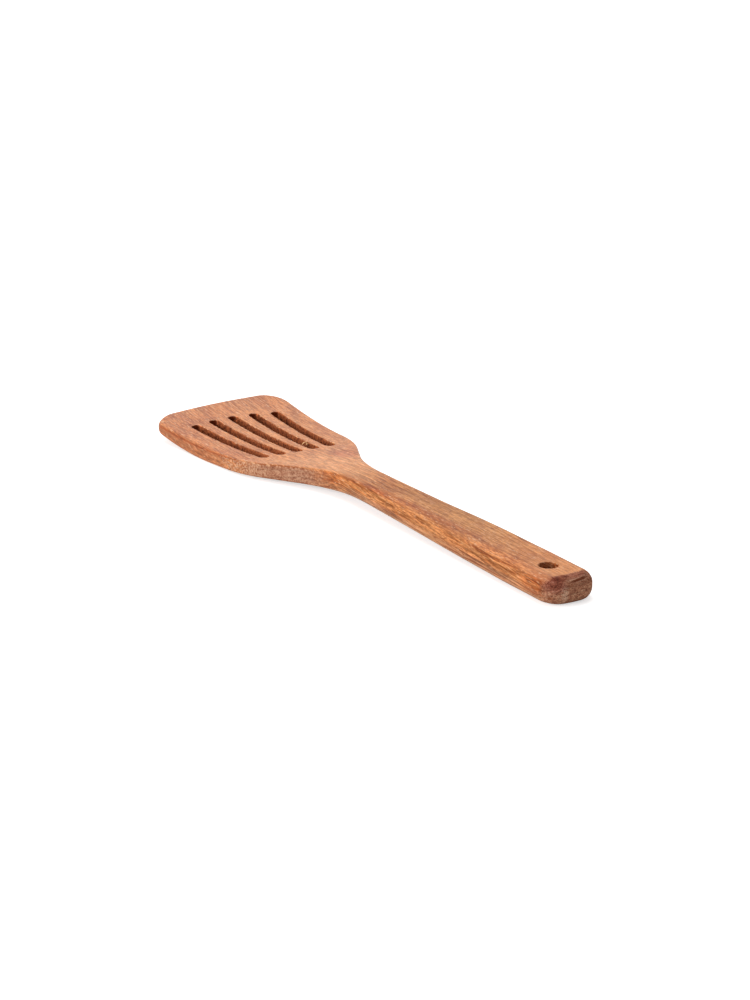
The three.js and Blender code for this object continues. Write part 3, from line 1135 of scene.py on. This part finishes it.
def long_grain(nodes, finish, on):
    """The colour of the wood where its fibres lie along the surface."""
    gain = nodes.line(on.calm, CALM_STREAKS, nodes.line(on.neck, NECK_STREAKS, on.streak_gain))
    streaks = nodes.line(nodes.calc("SUBTRACT", on.streaks, NOISE_MEAN), gain, NOISE_MEAN)
    colours = (finish.dark_streak, finish.brown, finish.orange, finish.pale_fibre)
    wood = Paint(nodes, nodes.ramp(streaks, STREAK_STOPS, colours))
    wood.tint(on.fibre_tone, on.fibre_strength)
    wood.tint(on.mottle_tone, nodes.line(on.neck, NECK_MOTTLE, on.mottle_strength))
    wood.tint(finish.shade_tint, on.shaded, on.top)
    wood.tint(finish.top_tint, on.top)
    wood.cover(finish.end_pale, on.low, LOW_PALENESS)
    wood.tint(finish.low_tint, on.low)
    wood.tint(on.line_tone, on.off_top, on.low_lines, on.calm_lines)
    wood.tint(on.band_tone, on.neck)
    wood.tint(finish.side_tint, on.handle)
    golden = nodes.times(on.golden_foot, on.golden_top, on.handle, on.golden_zone)
    wood.tint(on.golden_tone, golden)
    wood.cover(finish.chip, golden, GOLDEN_PALENESS)
    wood.tint(finish.calm_tint, on.calm)
    wood.cover(finish.end_pale, on.calm, CALM_PALENESS)
    wood.tint(on.ring_tone, 1.0)
    wood.tint(finish.grey_tint, on.grey_drift, on.grey_strength)
    wood.tint(finish.rosy_tint, on.rosy_clouds, on.top)
    # Painted shade in patches, most of all over the blade's front
    for patch in SHADE_PATCHES:
        wood.tint(finish.dark_tint, nodes.patch(on.place, *patch))
    # Painted light on the blade's rear, its neck and the handle's end, and paler wood elsewhere, stronger on
    # the upper faces
    for *patch, strength in LIT_AND_PALE_PATCHES:
        paler = nodes.span(on.top, 0, 1, PALE_SIDES * strength, strength)
        wood.cover(finish.pale_crest, nodes.patch(on.place, *patch), paler)
    wood.tint(finish.handle_tint, on.brown_patch)
    for patch in HEART_PATCHES:
        wood.tint(finish.heart_tint, nodes.patch(on.place, *patch))
    wood.tint(finish.foxed_tint, on.foxed_patch)
    nicked = nodes.times(on.nicked_patch, on.off_top)
    wood.tint(finish.heart_tint, nicked, NICKED_REDNESS)
    wood.cover(finish.pore, on.curled)
    wood.cover(finish.chip, on.flecks, nodes.line(nicked, NICKED_FLECKS, on.fleck_strength))
    wood.cover(finish.pore, on.pores, on.pore_strength)
    wood.tint(finish.heart_tint, on.foxed_rim, on.rim_side)
    return wood


def end_grain(nodes, finish, on):
    """The colour of the wood where its fibres are cut across, with the crack in the handle's end."""
    coarse = nodes.line(on.streaks, END_STREAKS, nodes.times(on.layers, END_LAYERS))
    mottled = nodes.line(on.fibres, END_FIBRES, coarse)
    cut = Paint(nodes, nodes.ramp(mottled, END_STOPS, (finish.end_dark, finish.end_middle, finish.end_pale)))
    cut.tint(on.end_ring_tone, 1.0)
    for *patch, strength in BLEACHED_PATCHES:
        streaky = nodes.span(on.layers, *BLEACHED_LAYERS, 0, strength)
        cut.cover(finish.bleached, nodes.patch(on.place, *patch), streaky)
    cut.tint(finish.butt_tint, on.butt)
    cut.tint(on.end_speck_tone, on.butt)
    cut.tint(finish.purple_tint, on.purple_patch)
    cut.cover(finish.pore, on.crack, on.crack_patch, CRACK_DEPTH)
    cut.tint(finish.butt_rim_tint, on.end_rim, on.end_rim_tone)
    return cut


def mark_rims(nodes, finish, on, wood):
    """Adds the specks of the shoulder, and the lines and scuffs along the rims."""
    wood.cover(finish.end_pale, on.speckled_patch, on.side, on.pale_specks)
    wood.cover(finish.dark_streak, on.speckled_patch, on.side, on.dark_specks)
    near_line = nodes.times(on.rim_line_start, on.rim_line_zone, on.rim_line_side)
    wood.tint(finish.rim_tint, near_line, on.rim_line_foot, on.rim_line_top)
    wood.cover(finish.end_pale, on.brushed_rim, on.brushed_side, on.off_butt)
    lower_line = nodes.times(on.lower_line_start, on.lower_line_end, on.lower_line_streaks)
    wood.cover(finish.dark_streak, lower_line, on.side)
    wood.cover(finish.end_pale, on.scuffed_rim, on.scuffed_specks, nodes.rest(on.crosscut))


def sawn_wall(nodes, finish, on, cut):
    """The colour of the openings' walls, with the torn front ends of the slots and painted shade on their
    tips.
    """
    sawn = Paint(nodes, nodes.ramp(on.scorch, WALL_STOPS, (finish.wall_dark, finish.wall)))
    sawn.cover(cut.colour, on.round_end)
    sawn.tint(finish.hole_tint, on.round_end)
    sawn.tint(on.torn_tone, on.torn_start, on.torn_end, on.torn_side, on.slot_zone)
    # Painted shade on the slots' front tips, where their walls face away from the lamps
    shadowed = nodes.calc("MAXIMUM", nodes.times(on.tip_side, on.tip_front), on.arc)
    sawn.tint(finish.tip_tint, shadowed, on.slot_zone)
    sawn.tint(finish.hole_tint, on.butt)
    return sawn


def chip_rims(nodes, finish, on, wood):
    """Adds the frayed rims of the openings and the chips of the crisp shoulder rim."""
    brink = nodes.times(on.opening_wall, nodes.rest(on.opening_wall), BRINK_GAIN)
    wood.cover(finish.chip, brink, on.frayed, FRAYING)
    crisp = nodes.times(on.upper_rim, on.chipped_patch)
    wood.cover(finish.dark_streak, crisp, on.worn, WEAR)
    wood.cover(finish.chip, crisp, on.chipped, CHIPPING)


def start_wood(name, figure):
    """A new material, its nodes, what they read of the wood, and the inputs of its shader."""
    material = bpy.data.materials.new(name)
    material.use_nodes = True
    nodes = Nodes(material.node_tree)
    shader = material.node_tree.nodes["Principled BSDF"].inputs
    shader["IOR"].default_value = WOOD_IOR
    return material, nodes, Surface(nodes, figure), shader


def oiled_wood(finish, figure):
    """Material of the sanded and oiled board."""
    material, nodes, on, shader = start_wood("oiled hardwood", figure)
    read_board(nodes, on)
    cut = end_grain(nodes, finish, on)
    wood = long_grain(nodes, finish, on)
    wood.cover(cut.colour, on.crosscut)
    mark_rims(nodes, finish, on, wood)
    wood.cover(sawn_wall(nodes, finish, on, cut).colour, on.opening_wall)
    chip_rims(nodes, finish, on, wood)
    nodes.join(wood.colour, shader["Base Color"])

    dull, glossy = finish.roughness + DULLER_STREAKS, finish.roughness - GLOSSIER_STREAKS
    gloss = nodes.span(on.streaks, *GLOSS_SPAN, dull, glossy)
    rougher = nodes.times(on.opening_wall, finish.wall_roughness - finish.roughness)
    nodes.join(nodes.calc("ADD", gloss, rougher, clamp=True), shader["Roughness"])
    sheen = nodes.span(on.along, *SHEEN_ZONE, finish.blade_sheen, finish.handle_sheen)
    nodes.join(nodes.times(sheen, on.dry_sides, on.matte_ends), shader["Specular IOR Level"])

    relief = nodes.line(on.pores, PORE_RELIEF, nodes.times(on.fibres, FIBRE_RELIEF))
    relief = nodes.line(on.curled, CURL_RELIEF, relief)
    relief = nodes.line(on.streaks, STREAK_RELIEF, relief)
    relief = nodes.line(nodes.times(on.opening_wall, on.specks), WALL_RELIEF, relief)
    nodes.join(nodes.bump(relief, *WOOD_BUMP), shader["Normal"])
    return material


def torn_fibre(finish, figure):
    """Material of the raw fibres, paler than the oiled board."""
    material, nodes, on, shader = start_wood("torn fibre", figure)
    nodes.join(nodes.ramp(on.fibres, FIBRE_STOPS, (finish.chip, finish.raw_fibre)), shader["Base Color"])
    rough = nodes.span(on.fibres, *GLOSS_SPAN, finish.wall_roughness, finish.roughness)
    nodes.join(rough, shader["Roughness"])
    shader["Specular IOR Level"].default_value = FIBRE_SHEEN
    nodes.join(nodes.bump(on.fibres, *FIBRE_BUMP), shader["Normal"])
    return material


class TURNER_OT_carve(bpy.types.Operator):
    """Carves blade, neck and handle from one board, with the slots and the hang hole"""

    bl_idname = "turner.carve"
    bl_label = "Carve turner"

    def execute(self, context):
        scene = context.scene
        carved = CarvedTurner(scene.turner_outline, scene.turner_profile, scene.turner_openings)
        piece = start_piece("turner_body")
        bm = bmesh.from_edit_mesh(piece.data)
        for name in (ORDER, CAP):
            bm.verts.layers.int.new(name)
        for name in FLOAT_DATA:
            bm.verts.layers.float.new(name)
        bmesh.update_edit_mesh(piece.data)
        draw_ring(piece, carved.outline_levels())
        for index in range(scene.turner_openings.slot_count):
            draw_ring(piece, carved.opening_levels(carved.slot_ring(index), index, SLOT_SAWN))
        hole_seed = scene.turner_openings.slot_count
        draw_ring(piece, carved.opening_levels(carved.hole_ring(), hole_seed, HOLE_SAWN))
        fill_cap(piece, TOP_CAP)
        fill_cap(piece, BOTTOM_CAP)
        cut_stations(piece, scene.turner_outline.blade_front_width / 2)
        raise_to_profile(piece, carved)
        bpy.ops.mesh.select_all(action="SELECT")
        bpy.ops.mesh.remove_doubles(threshold=SAME_POINT)
        bpy.ops.mesh.normals_make_consistent(inside=False)
        bpy.ops.object.mode_set(mode="OBJECT")
        bpy.ops.object.shade_smooth()
        for name in (ORDER, CAP, DROP, RISE):
            piece.data.attributes.remove(piece.data.attributes[name])
        piece.data.materials.append(oiled_wood(scene.turner_finish, wood_figure_group()))
        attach(piece, "root")
        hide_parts("turner")
        return {"FINISHED"}


class TURNER_OT_leave_fibres(bpy.types.Operator):
    """Leaves a few torn fibres standing at the rims of the slots"""

    bl_idname = "turner.leave_fibres"
    bl_label = "Leave torn fibres"

    def execute(self, context):
        finish = context.scene.turner_finish
        bpy.ops.object.select_all(action="DESELECT")
        bpy.ops.curve.primitive_bezier_curve_add(radius=MM)
        piece = bpy.context.active_object
        piece.name = "torn_fibres"
        curve = piece.data
        curve.splines.clear()
        curve.dimensions = "3D"
        curve.bevel_depth = MM / 2
        curve.bevel_resolution = FIBRE_ROUNDNESS
        curve.use_fill_caps = True
        for path, thickness in TORN_FIBRES:
            spline = curve.splines.new("BEZIER")
            spline.bezier_points.add(len(path) - 1)
            for i, (knot, place) in enumerate(zip(spline.bezier_points, path)):
                knot.co = Vector(place) * MM
                knot.handle_left_type = "AUTO"
                knot.handle_right_type = "AUTO"
                knot.radius = thickness * (1 - (1 - FIBRE_TIP_SHARE) * i / (len(path) - 1))
        bpy.ops.object.convert(target="MESH")
        piece = bpy.context.active_object
        piece.data.name = "torn_fibres"
        bpy.ops.object.shade_smooth()
        piece.data.materials.append(torn_fibre(finish, bpy.data.node_groups[FIGURE_GROUP]))
        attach(piece, "root")
        return {"FINISHED"}


def add_lamp(name, place, size, strength):
    """A soft rectangular lamp that points at the origin."""
    bpy.ops.object.light_add(type="AREA", location=place)
    lamp = bpy.context.active_object
    lamp.name = name
    lamp.data.shape = "RECTANGLE"
    lamp.data.size, lamp.data.size_y = size
    lamp.data.energy = strength
    lamp.rotation_euler = (-Vector(place)).to_track_quat("-Z", "Y").to_euler()


def seen_ray(nodes):
    """1 for the rays that show the background: those of the camera, of gloss and of glass."""
    path = nodes.add("LightPath").outputs
    gloss = nodes.calc("MAXIMUM", path["Is Glossy Ray"], path["Is Transmission Ray"])
    return nodes.calc("MAXIMUM", path["Is Camera Ray"], gloss)


class TURNER_OT_set_studio(bpy.types.Operator):
    """Sets the camera, the lamps, the floor and the even light"""

    bl_idname = "turner.set_studio"
    bl_label = "Set studio"

    def execute(self, context):
        scene = context.scene
        studio = scene.turner_studio
        bpy.ops.object.select_all(action="DESELECT")
        scene.view_settings.view_transform = "Standard"
        self.add_camera(scene, studio)
        self.add_floor()
        self.light_world(scene, studio)
        add_lamp("top_lamp", TOP_LAMP_PLACE, TOP_LAMP_SIZE, studio.top_power)
        add_lamp("side_lamp", SIDE_LAMP_PLACE, SIDE_LAMP_SIZE, studio.side_power)
        return {"FINISHED"}

    def add_camera(self, scene, studio):
        """Sets up the camera of the photo's view."""
        turn, lift = studio.azimuth, studio.elevation
        back = Vector((math.sin(turn) * math.cos(lift), -math.cos(turn) * math.cos(lift), math.sin(lift)))
        right = Vector((math.cos(turn), math.sin(turn), 0))
        up = back.cross(right)
        aim = Vector((0, 0, AIM_HEIGHT)) + right * studio.offset_right + up * studio.offset_up
        bpy.ops.object.camera_add(location=aim + back * studio.distance)
        camera = bpy.context.active_object
        camera.name = "camera"
        camera.rotation_euler = (-back).to_track_quat("-Z", "Y").to_euler()
        camera.data.lens = studio.lens
        camera.data.sensor_width = SENSOR_WIDTH
        camera.data.clip_start = CLIP_START
        scene.camera = camera

    def add_floor(self):
        """Lays a pale floor that is clear from below."""
        parts = {"x_subdivisions": FLOOR_PARTS, "y_subdivisions": FLOOR_PARTS}
        bpy.ops.mesh.primitive_grid_add(size=FLOOR_SIZE, **parts)
        floor = bpy.context.active_object
        floor.name = "floor"
        floor.location.z = -FLOOR_DEPTH
        material = bpy.data.materials.new("pale floor")
        material.use_nodes = True
        material.node_tree.nodes.clear()
        nodes = Nodes(material.node_tree)
        paint = nodes.add("BsdfDiffuse", {"Color": FLOOR_COLOUR})
        in_view = nodes.add("LightPath").outputs["Is Camera Ray"]
        glow = nodes.add("Emission", {"Strength": nodes.times(in_view, FLOOR_GLOW)})
        lit = nodes.add("AddShader", {0: paint.outputs[0], 1: glow.outputs[0]})
        clear = nodes.add("BsdfTransparent")
        below = nodes.add("NewGeometry").outputs["Backfacing"]
        mixed = nodes.add("MixShader", {0: below, 1: lit.outputs[0], 2: clear.outputs[0]})
        nodes.add("OutputMaterial", {"Surface": mixed.outputs[0]})
        floor.data.materials.append(material)

    def light_world(self, scene, studio):
        """Shows white all round and lights the turner evenly."""
        world = bpy.data.worlds.new("studio")
        scene.world = world
        world.use_nodes = True
        nodes = Nodes(world.node_tree)
        background = world.node_tree.nodes["Background"]
        background.inputs["Color"].default_value = (1, 1, 1, 1)
        strength = nodes.span(seen_ray(nodes), 0, 1, studio.ambient, 1)
        nodes.join(strength, background.inputs["Strength"])


class TURNER_PT_turner(bpy.types.Panel):
    """Lists the steps and the sizes of the turner"""

    bl_idname = "TURNER_PT_turner"
    bl_label = "Turner"
    bl_space_type = "VIEW_3D"
    bl_region_type = "UI"
    bl_category = "Turner"

    def draw(self, context):
        layout = self.layout
        for operator in OPERATORS:
            layout.operator(operator.bl_idname)
        for holder in SETTINGS:
            box = layout.box()
            settings = getattr(context.scene, holder)
            for name in settings.bl_rna.properties.keys():
                if name not in ("rna_type", "name"):
                    box.prop(settings, name)


OPERATORS = (TURNER_OT_carve, TURNER_OT_leave_fibres, TURNER_OT_set_studio)
SETTINGS = {
    "turner_outline": TurnerOutline,
    "turner_profile": TurnerProfile,
    "turner_openings": TurnerOpenings,
    "turner_finish": WoodFinish,
    "turner_studio": StudioSettings,
}
CLASSES = (*SETTINGS.values(), *OPERATORS, TURNER_PT_turner)


def register():
    for each in CLASSES:
        bpy.utils.register_class(each)
    for holder, settings in SETTINGS.items():
        setattr(bpy.types.Scene, holder, PointerProperty(type=settings))


def unregister():
    for holder in SETTINGS:
        delattr(bpy.types.Scene, holder)
    for each in reversed(CLASSES):
        bpy.utils.unregister_class(each)


def main():
    register()
    bpy.ops.turner.carve()
    bpy.ops.turner.leave_fibres()
    bpy.ops.turner.set_studio()


if __name__ == "__main__":
    main()
